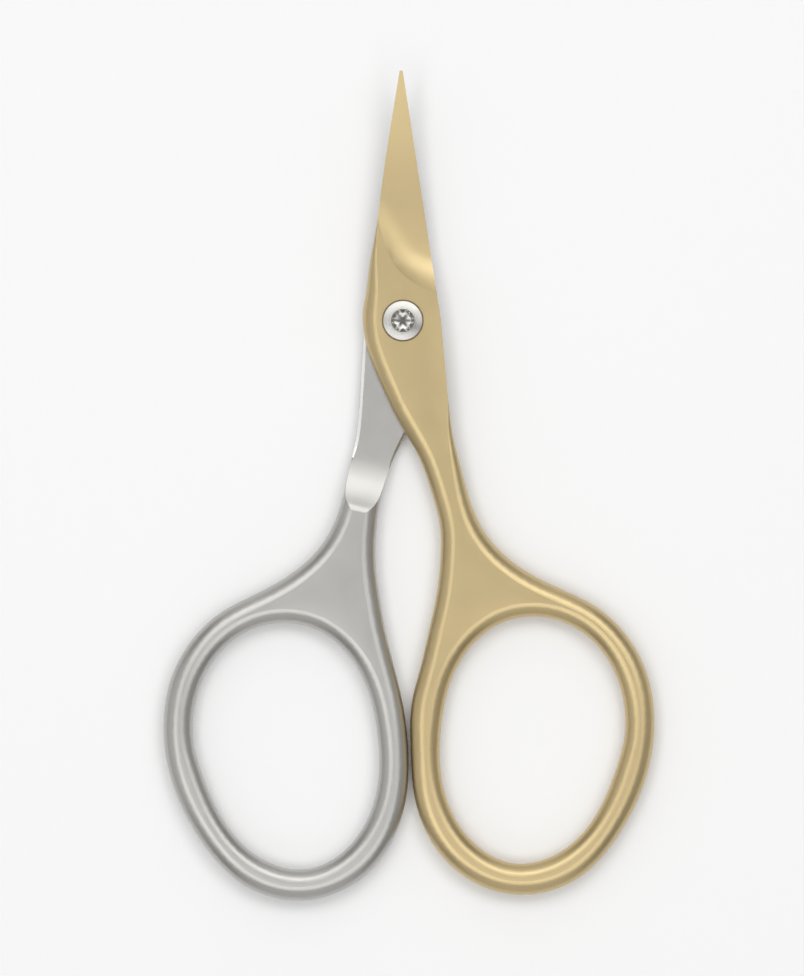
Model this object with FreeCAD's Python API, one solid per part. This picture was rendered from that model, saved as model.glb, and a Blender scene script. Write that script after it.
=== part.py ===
import FreeCAD, Part

import math
import os

# Cuticle scissors, closed, lying on their back with the points along +Y.
# All lengths are in millimetres. X runs across, Y along and Z up out of the
# face that carries the screw. The pivot axis is the Z axis, and z = 0 is the
# plane that the scissors rest on.
#
# The scissors are two forged halves on one pivot. Each half is described in
# its own half frame: h is the height above the middle plane of the joint, and
# grows towards the half's outer face. The front half stands that way up. The
# rear half is turned over about the Y axis.

Vector = FreeCAD.Vector
AXIS_Y = Vector(0, 1, 0)
AXIS_Z = Vector(0, 0, 1)
ORIGIN = Vector(0, 0, 0)

# Driving sizes of the whole tool
handle_thickness = 3.2
half_gap = 0.06
overrun = 1.0

# Driving sizes of the blades
blade_length = 27.1
rear_point_setback = 0.6
point_width = 0.36
point_round = 0.1
front_point_x = 0.42
rear_point_x = -0.02
blade_rise = 3.5
flat_mating_radius = 5.0
edge_thickness = 0.5
point_edge_thickness = 0.22
grind_slope = 0.14
grind_run_out_radius = 8.0
spine_round_end = 0.1

# Driving sizes of the joint and the shanks
joint_reach = 4.35
rear_spine_inset = 0.3
ramp_start_radius = 15.0
ramp_end_radius = 21.6
ramp_lip_radius = 2.2
ramp_lip_depth = 0.02
edge_round = 1.5
edge_bevel = 0.3
soft_corner = 0.06

# Driving sizes of the bows
bow_gap = 0.27
front_bow_y = -45.62
rear_bow_y = -45.88
bow_lean_deg = 9.4
hole_half_width = 10.0
hole_half_height = 13.5
rim_side_width = 3.3
rim_end_width = 3.7

# Driving sizes of the pivot
head_diameter = 4.35
head_rim_height = 0.6
head_crown = 0.12
head_edge_chamfer = 0.08
head_recess_depth = 0.45
head_recess_clearance = 0.1
shoulder_diameter = 3.4
running_clearance = 0.03
axial_play = 0.01
thread_diameter = 2.5
thread_clearance = 0.02
thread_chamfer = 0.2
nut_flange_diameter = 5.6
nut_flange_thickness = 0.55
nut_sleeve_diameter = 3.9
nut_cap_thickness = 0.35
nut_seat_clearance = 0.02
nut_edge_chamfer = 0.1
washer_thickness = 0.12
washer_clearance = 0.05
gap_washer_diameter = 7.0
gap_washer_bore = 3.6
gap_washer_seat = 0.2
socket_point_diameter = 2.31
socket_flat_diameter = 1.66
socket_depth = 1.3
socket_lobes = 6
lobe_half_angle_deg = 14

# Sizes that follow from the driving sizes
rear_blade_length = blade_length - rear_point_setback
half_thickness = handle_thickness / 2
mating_height = half_gap / 2
rear_mating_z = half_thickness - mating_height
front_mating_z = half_thickness + mating_height
recess_floor_z = handle_thickness - head_recess_depth
head_seat_z = recess_floor_z + washer_thickness + axial_play
head_rim_z = head_seat_z + head_rim_height
head_top_z = head_rim_z + head_crown
gap_washer_floor_z = rear_mating_z - gap_washer_seat
gap_washer_top_z = front_mating_z - axial_play
nut_top_z = gap_washer_floor_z - gap_washer_seat / 2
shoulder_end_z = nut_top_z + running_clearance
thread_end_z = nut_cap_thickness + running_clearance

# Blade curve: the radius whose arc climbs blade_rise between the flat part of
# the mating face and the point
blade_run = blade_length - flat_mating_radius
blade_curve_radius = (blade_run ** 2 + blade_rise ** 2) / (2 * blade_rise)

# The long edges are rounded up to slab_end. The bar is no higher than the joint
# up to blade_start, where the ground face has taken all of its outer face away.
slab_end_share = 0.39
blade_start_share = 0.5
slab_end = slab_end_share * blade_length
blade_start = blade_start_share * blade_length

# Outline of a half, in its half frame. The outer side is the cutting edge and
# the outside of the shank, the inner side is the spine and the inside.
# Points near the joint are shares of joint_reach and blade_length, and points
# of the shank are shares of the place of the bow's centre.
heel_share = (0.952, 0.0)
kink_share = (1.106, 0.332)
growing_round_shares = (
    (0.388, 0.263),
    (0.455, 0.35),
    (0.535, 0.438),
    (0.655, 0.513),
)
outer_shank_shares = (
    (0.846, 0.574),
    (1.169, 0.633),
    (1.552, 0.69),
    (1.769, 0.75),
    (1.899, 0.81),
)
front_inner_shares = (
    (0.021, 0.918),
    (0.097, 0.831),
    (0.172, 0.743),
    (0.241, 0.656),
    (0.279, 0.568),
    (0.281, 0.494),
    (0.22, 0.415),
    (0.117, 0.327),
    (-0.042, 0.242),
)
rear_inner_shares = (
    (0.042, 0.918),
    (0.105, 0.831),
    (0.175, 0.743),
    (0.225, 0.655),
    (0.253, 0.568),
    (0.243, 0.495),
    (0.2, 0.416),
    (0.097, 0.329),
    (-0.055, 0.243),
)
inner_joint_shares = (
    (-0.471, 0.291),
    (-0.775, 0.170),
    (-0.945, 0.080),
)
shoulder_share = (1.0, 0.018)
spine_shares = (
    (0.920, 0.103),
    (0.805, 0.229),
    (0.625, 0.376),
    (0.494, 0.517),
    (0.274, 0.738),
)

# A bow is a leaning ellipse, pressed a little out of round. These are the
# shares of the ellipse's radius at even steps of angle, from its outer side on.
hole_shares = (
    0.992, 1.015, 0.988, 0.980, 1.019, 1.036, 0.991, 1.001, 1.010, 1.019, 1.004, 0.976,
)
rim_shares = (0.992, 0.973, 0.996, 0.995, 1.004, 0.998, 0.980)
rim_start_deg = 0
rim_step_deg = -30
rim_end_deg = -170

# Stations of the bevels on the mating face: how far along the edge, and the
# bevel's width as a share of edge_bevel. Below nothing, it misses the edge.
heel_bevels = ((0.0, -0.4), (0.35, 1.0), (0.7, 1.0))
outer_bevels = ((0.0, 1.0), (0.13, 1.0), (0.25, 1.0), (0.33, 0.8), (0.41, 0.0), (0.5, -1.6))
inner_bevels = (
    (0.1, -1.6), (0.16, 0.1), (0.22, 0.8), (0.3, 1.0), (0.5, 1.0), (0.7, 1.0), (0.85, 0.9), (1.0, -0.4),
)

# The bows stand as near to each other as bow_gap lets them
bow_half_width = hole_half_width + rim_side_width
bow_half_height = hole_half_height + rim_end_width
bow_lean = math.radians(bow_lean_deg)
bow_reach = math.hypot(bow_half_width * math.cos(bow_lean), bow_half_height * math.sin(bow_lean))
bow_centre_x = bow_gap / 2 + bow_reach * rim_shares[-1]

# The ground face of a blade starts to run out on a scallop about this centre,
# in shares of joint_reach and blade_length
scallop_share = (0.816, 0.382)
scallop_radius_share = 0.118
scallop_radius = scallop_radius_share * blade_length
scallop_start_deg = 208
scallop_end_deg = 270
run_out_steepest_deg = 40
grind_rows = 49
grind_columns = 25
grind_margin_share = 0.1


def box_between(low, high):
    """Return the box that has its corners at low and high."""
    size = high - low
    return Part.makeBox(size.x, size.y, size.z, low)


def disc(diameter, low_z, high_z):
    """Return an upright cylinder on the pivot axis."""
    base = Vector(0, 0, low_z)
    return Part.makeCylinder(diameter / 2, high_z - low_z, base, AXIS_Z)


def revolved(profile):
    """Turn a closed profile of (radius, height) points about the pivot axis."""
    points = [Vector(radius, 0, height) for radius, height in profile]
    face = Part.Face(Part.makePolygon(points + points[:1]))
    return face.revolve(ORIGIN, AXIS_Z, 360)


def polar(radius, angle_deg):
    """Return the point at a radius and angle about the pivot axis."""
    angle = math.radians(angle_deg)
    return Vector(radius * math.cos(angle), radius * math.sin(angle), 0)


def smooth_edge(points, start, end):
    """Return a smooth curve through points, with set directions at its ends."""
    curve = Part.BSplineCurve()
    ends = {"InitialTangent": start.normalize(), "FinalTangent": end.normalize()}
    curve.interpolate(Points=points, Scale=False, **ends)
    return curve


def shank_point(shares, bow_y):
    """Return a point of the shank, on the side of the bow."""
    return Vector(shares[0] * bow_centre_x, shares[1] * bow_y, 0)


def joint_point(shares):
    """Return a point of the joint below the pivot axis."""
    return Vector(shares[0] * joint_reach, -shares[1] * blade_length, 0)


def spine_point(shares, spine_reach):
    """Return a point of the blade's spine."""
    return Vector(-shares[0] * spine_reach, shares[1] * blade_length, 0)


def bow_point(half_width, half_height, share, angle_deg, bow_y):
    """Return the point at a share of a bow's leaning ellipse, at an angle."""
    angle = math.radians(angle_deg)
    across = share * half_width * math.cos(angle)
    along = share * half_height * math.sin(angle)
    x = bow_centre_x + across * math.cos(bow_lean) + along * math.sin(bow_lean)
    y = bow_y - across * math.sin(bow_lean) + along * math.cos(bow_lean)
    return Vector(x, y, 0)


def hole_wire(bow_y):
    """Return the outline of the finger hole."""
    step = 360 / len(hole_shares)
    points = []
    for number, share in enumerate(hole_shares):
        points.append(bow_point(hole_half_width, hole_half_height, share, number * step, bow_y))
    curve = Part.BSplineCurve()
    curve.interpolate(Points=points, PeriodicFlag=True)
    return Part.Wire([curve.toShape()])


def long_curve(spine_reach, bow_y, inner_shares):
    """Return the one smooth curve from the kink round the bow to the shoulder, and where it is divided."""
    kink = joint_point(kink_share)
    shoulder = spine_point(shoulder_share, spine_reach)
    growing = [shank_point(shares, bow_y) for shares in growing_round_shares]
    points = [kink] + growing + [shank_point(shares, bow_y) for shares in outer_shank_shares]
    bow_start = len(points)
    for number, share in enumerate(rim_shares[:-1]):
        angle = rim_start_deg + number * rim_step_deg
        points.append(bow_point(bow_half_width, bow_half_height, share, angle, bow_y))
    bow_end = len(points)
    points.append(bow_point(bow_half_width, bow_half_height, rim_shares[-1], rim_end_deg, bow_y))
    points = points + [shank_point(shares, bow_y) for shares in inner_shares]
    points = points + [joint_point(shares) for shares in inner_joint_shares] + [shoulder]
    curve = smooth_edge(points, points[1] - kink, AXIS_Y)
    divisions = [curve.parameter(points[number]) for number in (len(growing), bow_start, bow_end)]
    return curve, [curve.FirstParameter] + divisions + [curve.LastParameter]


def half_outline(point_x, length, spine_reach, bow_y, inner_shares):
    """Return the outline face of a half, from the blade's point to the bow."""
    heel = joint_point(heel_share)
    kink = joint_point(kink_share)
    edge_point = Vector(point_x, length - point_round, 0)
    end_point = Vector(point_x - point_width / 2, length, 0)
    spine_end = Vector(point_x - point_width, length - point_round, 0)
    shoulder = spine_point(shoulder_share, spine_reach)
    spine_points = [shoulder] + [spine_point(shares, spine_reach) for shares in spine_shares] + [spine_end]
    spine = smooth_edge(spine_points, AXIS_Y, spine_end - spine_points[-2])
    curve, divisions = long_curve(spine_reach, bow_y, inner_shares)

    edges = [
        Part.Arc(spine_end, end_point, edge_point).toShape(),
        Part.LineSegment(edge_point, heel).toShape(),
        Part.LineSegment(heel, kink).toShape(),
        spine.toShape(),
    ]
    for first, last in zip(divisions, divisions[1:]):
        edges.append(curve.toShape(first, last))
    rim = Part.Wire(Part.__sortEdges__(edges))
    return Part.Face([rim, hole_wire(bow_y)])


def bevel_station(point, along, share):
    """Return a point of an edge, the direction out of the metal there and the bevel's width."""
    return point, AXIS_Z.cross(along).normalize(), share * edge_bevel


def curve_stations(curve, first, last, bevels):
    """Return the bevel stations on a stretch of the long curve."""
    stations = []
    for along, share in bevels:
        place = first + (last - first) * along
        stations.append(bevel_station(curve.value(place), curve.tangent(place)[0], share))
    return stations


def bevel_stations(spine_reach, bow_y, inner_shares):
    """Return the stations of the bevels on the two long edges of the mating face."""
    heel = joint_point(heel_share)
    kink = joint_point(kink_share)
    curve, divisions = long_curve(spine_reach, bow_y, inner_shares)
    outer = []
    for along, share in heel_bevels:
        outer.append(bevel_station(heel + (kink - heel) * along, kink - heel, share))
    outer = outer + curve_stations(curve, divisions[0], divisions[1], outer_bevels)
    crotch = curve.parameter(shank_point(inner_shares[-3], bow_y))
    inner = curve_stations(curve, crotch, divisions[-1], inner_bevels)
    return outer, inner


def rounding_at(point):
    """Return the radius that the long edges of a slab are rounded to at a point of theirs."""
    kink = joint_point(kink_share)
    if math.hypot(point.x - kink.x, point.y - kink.y) < soft_corner:
        return soft_corner
    if point.y > slab_end - soft_corner:
        return spine_round_end
    return edge_round


def rounded_slab(outline, low_y, high_y):
    """Return a stretch of a half at full thickness, with its long curved edges rounded.

    The rounding starts from nothing where the outside leaves the joint, and
    runs out again along the spine.
    """
    reach = bow_centre_x + bow_half_width + overrun
    stretch = box_between(Vector(-reach, low_y, -overrun), Vector(reach, high_y, overrun))
    slab = outline.common(stretch).Faces[0].extrude(AXIS_Z * handle_thickness)
    slab.translate(AXIS_Z * -half_thickness)
    document = FreeCAD.newDocument("rounding")
    base = document.addObject("Part::Feature", "slab")
    base.Shape = slab
    rounding = document.addObject("Part::Fillet", "rounded_slab")
    rounding.Base = base
    radii = []
    for number, edge in enumerate(slab.Edges, 1):
        if edge.Curve.TypeId == "Part::GeomLine":
            continue
        first = edge.valueAt(edge.FirstParameter)
        last = edge.valueAt(edge.LastParameter)
        radii.append((number, rounding_at(first), rounding_at(last)))
    rounding.Edges = radii
    document.recompute()
    solid = rounding.Shape.copy()
    FreeCAD.closeDocument(document.Name)
    return solid


def blade_rise_at(distance):
    """Return how far the mating faces have climbed at a distance from the pivot axis."""
    run = max(distance - flat_mating_radius, 0)
    return blade_curve_radius - math.sqrt(blade_curve_radius ** 2 - run ** 2)


def mating_cutter(bend):
    """Return what is cut away inside the blade: below a face turned about the pivot axis.

    Because it is turned about the pivot, the two mating faces clear each
    other however far the scissors are open.
    """
    reach = blade_length + overrun
    inside = -half_thickness - blade_rise - overrun
    flat = Vector(flat_mating_radius, 0, mating_height)
    middle_run = (flat_mating_radius + reach) / 2
    middle = Vector(middle_run, 0, mating_height + bend * blade_rise_at(middle_run))
    end = Vector(reach, 0, mating_height + bend * blade_rise_at(reach))
    outline = [
        Part.LineSegment(Vector(0, 0, inside), Vector(0, 0, mating_height)).toShape(),
        Part.LineSegment(Vector(0, 0, mating_height), flat).toShape(),
        Part.Arc(flat, middle, end).toShape(),
        Part.LineSegment(end, Vector(reach, 0, inside)).toShape(),
        Part.LineSegment(Vector(reach, 0, inside), Vector(0, 0, inside)).toShape(),
    ]
    return Part.Face(Part.Wire(outline)).revolve(ORIGIN, AXIS_Z, 180)


def ramp_cutter():
    """Return what is cut away inside the shank: half its thickness, out to a ramp.

    The ramp is hollow, and ends in a rounded lip where the full thickness starts.
    """
    inside = -half_thickness - overrun
    drop = half_thickness + mating_height + ramp_lip_depth
    run = ramp_end_radius - ramp_start_radius
    both_radii = (run ** 2 + drop ** 2) / (2 * drop)
    hollow_radius = both_radii - ramp_lip_radius
    steepest = math.asin(run / both_radii)

    def hollow(angle):
        out = ramp_start_radius + hollow_radius * math.sin(angle)
        return Vector(out, 0, mating_height - hollow_radius * (1 - math.cos(angle)))

    def lip(angle):
        out = ramp_end_radius - ramp_lip_radius * math.sin(angle)
        return Vector(out, 0, mating_height - drop + ramp_lip_radius * (1 - math.cos(angle)))

    lip_start = hollow(steepest)
    outline = [
        Part.LineSegment(Vector(0, 0, inside), Vector(0, 0, mating_height)).toShape(),
        Part.LineSegment(Vector(0, 0, mating_height), hollow(0)).toShape(),
        Part.Arc(hollow(0), hollow(steepest / 2), lip_start).toShape(),
        Part.Arc(lip_start, lip(steepest / 2), lip(0)).toShape(),
        Part.LineSegment(lip(0), Vector(ramp_end_radius, 0, inside)).toShape(),
        Part.LineSegment(Vector(ramp_end_radius, 0, inside), Vector(0, 0, inside)).toShape(),
    ]
    solid = Part.Face(Part.Wire(outline)).revolve(ORIGIN, AXIS_Z, 180)
    solid.rotate(ORIGIN, AXIS_Z, 180)
    return solid


def ground_height(x, y, point_x, bend):
    """Return the height of the plain ground face: it falls to the edge and follows the curve."""
    share = y / blade_length
    heel_x = heel_share[0] * joint_reach
    edge_x = heel_x + (point_x - heel_x) * share
    thickness = edge_thickness + (point_edge_thickness - edge_thickness) * share
    return mating_height + bend * blade_rise_at(y) + thickness + grind_slope * (edge_x - x)


def run_out_height(x, y):
    """Return how far the grinding wheel has lifted off the plain ground face.

    The wheel lifts off along a rounded corner about the scallop's centre. The
    lift is the wheel's own arc, and a straight climb where it is steeper than
    any metal left there.
    """
    offset = Vector(x, y, 0) - spine_point(scallop_share, -joint_reach)
    along_start = offset.dot(polar(1, scallop_start_deg))
    along_end = offset.dot(polar(1, scallop_end_deg))
    angle_deg = math.degrees(math.atan2(offset.y, offset.x)) % 360
    corner = scallop_start_deg < angle_deg < scallop_end_deg
    distance = offset.Length if corner else max(along_start, along_end)
    travel = max(distance - scallop_radius, 0)
    steepest = math.radians(run_out_steepest_deg)
    on_arc = min(travel, grind_run_out_radius * math.sin(steepest))
    lift = grind_run_out_radius - math.sqrt(grind_run_out_radius ** 2 - on_arc ** 2)
    return lift + (travel - on_arc) * math.tan(steepest)


def grind_cutter(point_x, bend):
    """Return what the grinding wheel takes off the outside of a blade.

    Its lower face is the ground face, which runs out towards the joint in the
    wheel's own radius and leaves the scalloped step there.
    """
    side = joint_reach + overrun * 2
    grid = []
    for row in range(grind_rows):
        share = (1 + 2 * grind_margin_share) * row / (grind_rows - 1) - grind_margin_share
        station = share * blade_length
        line = []
        for column in range(grind_columns):
            x = side * (2 * column / (grind_columns - 1) - 1)
            height = ground_height(x, station, point_x, bend) + run_out_height(x, station)
            line.append(Vector(x, station, height))
        grid.append(line)
    surface = Part.BSplineSurface()
    surface.interpolate(grid)
    return surface.toShape().extrude(AXIS_Z * blade_length)


def bevel_cutter(stations):
    """Return what is cut off a long edge of the mating face.

    Each station is a point of the edge, the direction out of the metal there
    and the width of the bevel.
    """
    sections = []
    for point, outward, width in stations:
        inner = point - outward * (width + overrun) + AXIS_Z * (mating_height - overrun)
        outer = point + outward * overrun
        low = outer + AXIS_Z * (mating_height - overrun)
        high = outer + AXIS_Z * (mating_height + width + overrun)
        sections.append(Part.makePolygon([inner, low, high, inner]))
    return Part.makeLoft(sections, True, False)


def scissor_half(point_x, length, spine_reach, bow_y, inner_shares, bend):
    """Return one forged half in its half frame, without its pivot holes.

    bend is 1 for the half whose blade curves towards its outer face, and -1
    for the one whose blade curves towards its mating face.
    """
    outline = half_outline(point_x, length, spine_reach, bow_y, inner_shares)
    kink_y = joint_point(kink_share).y
    slab = rounded_slab(outline, bow_y * 2, kink_y)
    slab = slab.fuse(rounded_slab(outline, kink_y, slab_end))
    slab = slab.cut(ramp_cutter())
    reach = bow_centre_x + bow_half_width + overrun
    beyond = box_between(Vector(-reach, slab_end, -overrun), Vector(reach, blade_length * 2, overrun))
    deep = half_thickness + blade_rise + overrun
    blade = outline.common(beyond).Faces[0].extrude(AXIS_Z * (deep * 2))
    blade.translate(AXIS_Z * -deep)
    low = Vector(-reach, slab_end - overrun, half_thickness)
    blade = blade.cut(box_between(low, Vector(reach, blade_start, deep + overrun)))
    half = slab.fuse(blade)
    half = half.cut(mating_cutter(bend))
    half = half.cut(grind_cutter(point_x, bend))
    for stations in bevel_stations(spine_reach, bow_y, inner_shares):
        half = half.cut(bevel_cutter(stations))
    return half.removeSplitter()


def as_rear(half):
    """Turn a half over, as the rear half lies under the front one."""
    turned = half.copy()
    turned.rotate(ORIGIN, AXIS_Y, 180)
    return turned


def front_half():
    """Return the front half, with its screw recess and bearing bore."""
    half = scissor_half(
        front_point_x, blade_length, joint_reach, front_bow_y, front_inner_shares, 1,
    )
    half.translate(AXIS_Z * half_thickness)
    recess_diameter = head_diameter + head_recess_clearance * 2
    bore_diameter = shoulder_diameter + running_clearance * 2
    half = half.cut(disc(recess_diameter, recess_floor_z, handle_thickness + overrun))
    return half.cut(disc(bore_diameter, front_mating_z - overrun, recess_floor_z + overrun))


def rear_half():
    """Return the rear half, with the seats of the nut and of the gap washer."""
    spine_reach = joint_reach - rear_spine_inset
    half = as_rear(
        scissor_half(
            rear_point_x, rear_blade_length, spine_reach, rear_bow_y, rear_inner_shares, -1,
        ),
    )
    half.translate(AXIS_Z * half_thickness)
    flange_seat = nut_flange_diameter + nut_seat_clearance * 2
    sleeve_seat = nut_sleeve_diameter + nut_seat_clearance * 2
    washer_seat = gap_washer_diameter + washer_clearance * 2
    half = half.cut(disc(flange_seat, -overrun, nut_flange_thickness))
    half = half.cut(disc(sleeve_seat, -overrun, rear_mating_z + overrun))
    return half.cut(disc(washer_seat, gap_washer_floor_z, rear_mating_z + overrun))


def socket_cutter():
    """Return the six-lobe socket: round lobes outside, round flanks between them."""
    point_radius = socket_point_diameter / 2
    flat_radius = socket_flat_diameter / 2
    turn_radius = (point_radius + flat_radius) / 2
    lobe_step = 360 / socket_lobes
    edges = []
    for lobe in range(socket_lobes):
        middle = lobe * lobe_step
        start = polar(turn_radius, middle - lobe_half_angle_deg)
        crest = polar(point_radius, middle)
        turn = polar(turn_radius, middle + lobe_half_angle_deg)
        flank = polar(flat_radius, middle + lobe_step / 2)
        end = polar(turn_radius, middle + lobe_step - lobe_half_angle_deg)
        edges.append(Part.Arc(start, crest, turn).toShape())
        edges.append(Part.Arc(turn, flank, end).toShape())
    socket = Part.Face(Part.Wire(edges)).extrude(AXIS_Z * (socket_depth + overrun))
    socket.translate(AXIS_Z * (head_top_z - socket_depth))
    return socket


def pivot_screw():
    """Return the screw: low turned head, plain shoulder and short thread."""
    head_radius = head_diameter / 2
    thread_radius = thread_diameter / 2
    socket_radius = socket_point_diameter / 2
    profile = [
        (0, thread_end_z),
        (thread_radius - thread_chamfer, thread_end_z),
        (thread_radius, thread_end_z + thread_chamfer),
        (thread_radius, shoulder_end_z),
        (shoulder_diameter / 2, shoulder_end_z),
        (shoulder_diameter / 2, head_seat_z),
        (head_radius, head_seat_z),
        (head_radius, head_rim_z - head_edge_chamfer),
        (head_radius - head_edge_chamfer, head_rim_z),
        (socket_radius, head_top_z),
        (0, head_top_z),
    ]
    return revolved(profile).cut(socket_cutter())


def pivot_nut():
    """Return the blind flanged nut that is pressed into the rear half from behind."""
    flange_radius = nut_flange_diameter / 2
    sleeve_radius = nut_sleeve_diameter / 2
    bore_radius = thread_diameter / 2 + thread_clearance
    profile = [
        (0, 0),
        (flange_radius - nut_edge_chamfer, 0),
        (flange_radius, nut_edge_chamfer),
        (flange_radius, nut_flange_thickness),
        (sleeve_radius, nut_flange_thickness),
        (sleeve_radius, nut_top_z),
        (bore_radius, nut_top_z),
        (bore_radius, nut_cap_thickness),
        (0, nut_cap_thickness),
    ]
    return revolved(profile)


def head_washer():
    """Return the thin bearing ring under the screw's head."""
    outside = disc(head_diameter, recess_floor_z, recess_floor_z + washer_thickness)
    bore = shoulder_diameter + washer_clearance * 2
    return outside.cut(disc(bore, recess_floor_z - overrun, head_seat_z + overrun))


def gap_washer():
    """Return the bearing ring that keeps the two halves apart."""
    outside = disc(gap_washer_diameter, gap_washer_floor_z, gap_washer_top_z)
    return outside.cut(disc(gap_washer_bore, gap_washer_floor_z - overrun, gap_washer_top_z + overrun))


PIECES = {
    "front_half": front_half,
    "rear_half": rear_half,
    "pivot_screw": pivot_screw,
    "pivot_nut": pivot_nut,
    "head_washer": head_washer,
    "gap_washer": gap_washer,
}

os.makedirs("parts", exist_ok=True)
for name, make in PIECES.items():
    solid = make()
    box = solid.BoundBox
    print(
        name, "solids", len(solid.Solids), "valid", solid.isValid(), "volume", round(solid.Volume, 3),
        "z", round(box.ZMin, 3), round(box.ZMax, 3),
    )
    solid.exportStep("parts/" + name + ".step")
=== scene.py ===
"""Cuticle scissors, dressed over the solids of the frame and lit on a pale floor.

The two forged halves are copies of their solids, with a soft crown on the flat
faces and, on the rear one, a flatter ground bevel. The screw, the nut and the
two bearing rings are turned pieces, made by one geometry tree that turns a
profile about the pivot axis.

Sizes of the pieces are millimetres, as on a drawing, and the studio is in
metres. The frame is in metres too, its Z axis is the pivot axis and its Y axis
runs to the points of the blades.
"""
import logging
import math
from dataclasses import dataclass, replace
from enum import Enum

import bmesh
import bpy
import numpy as np
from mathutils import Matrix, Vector
from mathutils.bvhtree import BVHTree


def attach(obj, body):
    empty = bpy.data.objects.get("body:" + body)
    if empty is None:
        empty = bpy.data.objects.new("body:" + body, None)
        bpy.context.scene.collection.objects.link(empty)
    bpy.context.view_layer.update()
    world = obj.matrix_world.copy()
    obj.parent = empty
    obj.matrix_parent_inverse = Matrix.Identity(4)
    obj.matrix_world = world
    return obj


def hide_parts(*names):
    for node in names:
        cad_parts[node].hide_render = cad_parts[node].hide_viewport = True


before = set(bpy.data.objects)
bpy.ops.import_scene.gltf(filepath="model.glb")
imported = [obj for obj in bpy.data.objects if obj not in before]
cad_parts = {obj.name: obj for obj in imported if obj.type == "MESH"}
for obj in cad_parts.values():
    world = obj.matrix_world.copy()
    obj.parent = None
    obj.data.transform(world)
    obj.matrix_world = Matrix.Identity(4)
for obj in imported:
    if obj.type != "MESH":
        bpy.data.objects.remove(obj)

LOG = logging.getLogger("scissors")
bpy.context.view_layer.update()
MM = 0.001
EXACT_NORMAL = "exact_normal"
BELL_REACH = 4  # Standard deviations at which a blurring bell curve is cut off
SEAM_MM = 0.0005  # Points of a turned piece closer than this are one
CREASE_DEGREES = 25  # Edges that fold more than this stay sharp
QUARTER = 90  # Degrees


class Slot(Enum):
    """Material slots of the record."""

    GOLD_TONED_STEEL = "gold_toned_steel"
    SATIN_STEEL = "satin_steel"
    TURNED_STEEL = "turned_steel"
    BEARING_POLYMER = "bearing_polymer"


class Body(Enum):
    """Bodies of the frame that a piece can ride on."""

    REAR = "rear"
    FRONT = "front"
    SCREW = "screw"


def linear(colour: str) -> tuple[float, float, float, float]:
    """Turn an sRGB hex colour to linear.

    Args:
        colour: Six hex digits.

    Returns:
        Linear red, green and blue, and an alpha of 1.
    """
    parts = []
    for start in (0, 2, 4):
        value = int(colour[start:start + 2], 16) / 255
        parts.append(value / 12.92 if value <= 0.04045 else ((value + 0.055) / 1.055) ** 2.4)
    return (*parts, 1.0)


def add_node(
    tree: bpy.types.NodeTree, kind: str, settings: dict | None = None, inputs: dict | None = None,
) -> bpy.types.Node:
    """Add a node to a shader or geometry tree.

    Args:
        tree: The tree that gets the node.
        kind: The node's type name.
        settings: Values of the node's own properties.
        inputs: For each input, by name or number, its value or the output socket linked to it.

    Returns:
        The new node.
    """
    node = tree.nodes.new(kind)
    for name, value in (settings or {}).items():
        setattr(node, name, value)
    for name, value in (inputs or {}).items():
        if isinstance(value, bpy.types.NodeSocket):
            tree.links.new(value, node.inputs[name])
        else:
            node.inputs[name].default_value = value
    return node


def calculate(
    tree: bpy.types.NodeTree, operation: str, *operands: float | bpy.types.NodeSocket,
) -> bpy.types.NodeSocket:
    """Add a maths node.

    Args:
        tree: The tree that gets the node.
        operation: What the node does with its operands.
        operands: Numbers or output sockets, in the order of the node's inputs.

    Returns:
        The socket with the result.
    """
    node = add_node(tree, "ShaderNodeMath", {"operation": operation}, dict(enumerate(operands)))
    return node.outputs[0]


def new_material(name: str) -> bpy.types.Material:
    """Make a material with an empty node tree.

    Args:
        name: The material's name.

    Returns:
        The new material.
    """
    material = bpy.data.materials.new(name)
    material.use_nodes = True
    material.node_tree.nodes.clear()
    return material


def add_surface(tree: bpy.types.NodeTree, kind: str, inputs: dict) -> None:
    """Add a surface shader and link it to the material's output.

    Args:
        tree: The material's node tree.
        kind: The shader's type name.
        inputs: The shader's inputs, as in add_node.
    """
    shader = add_node(tree, kind, inputs=inputs)
    add_node(tree, "ShaderNodeOutputMaterial", inputs={"Surface": shader.outputs[0]})


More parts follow.
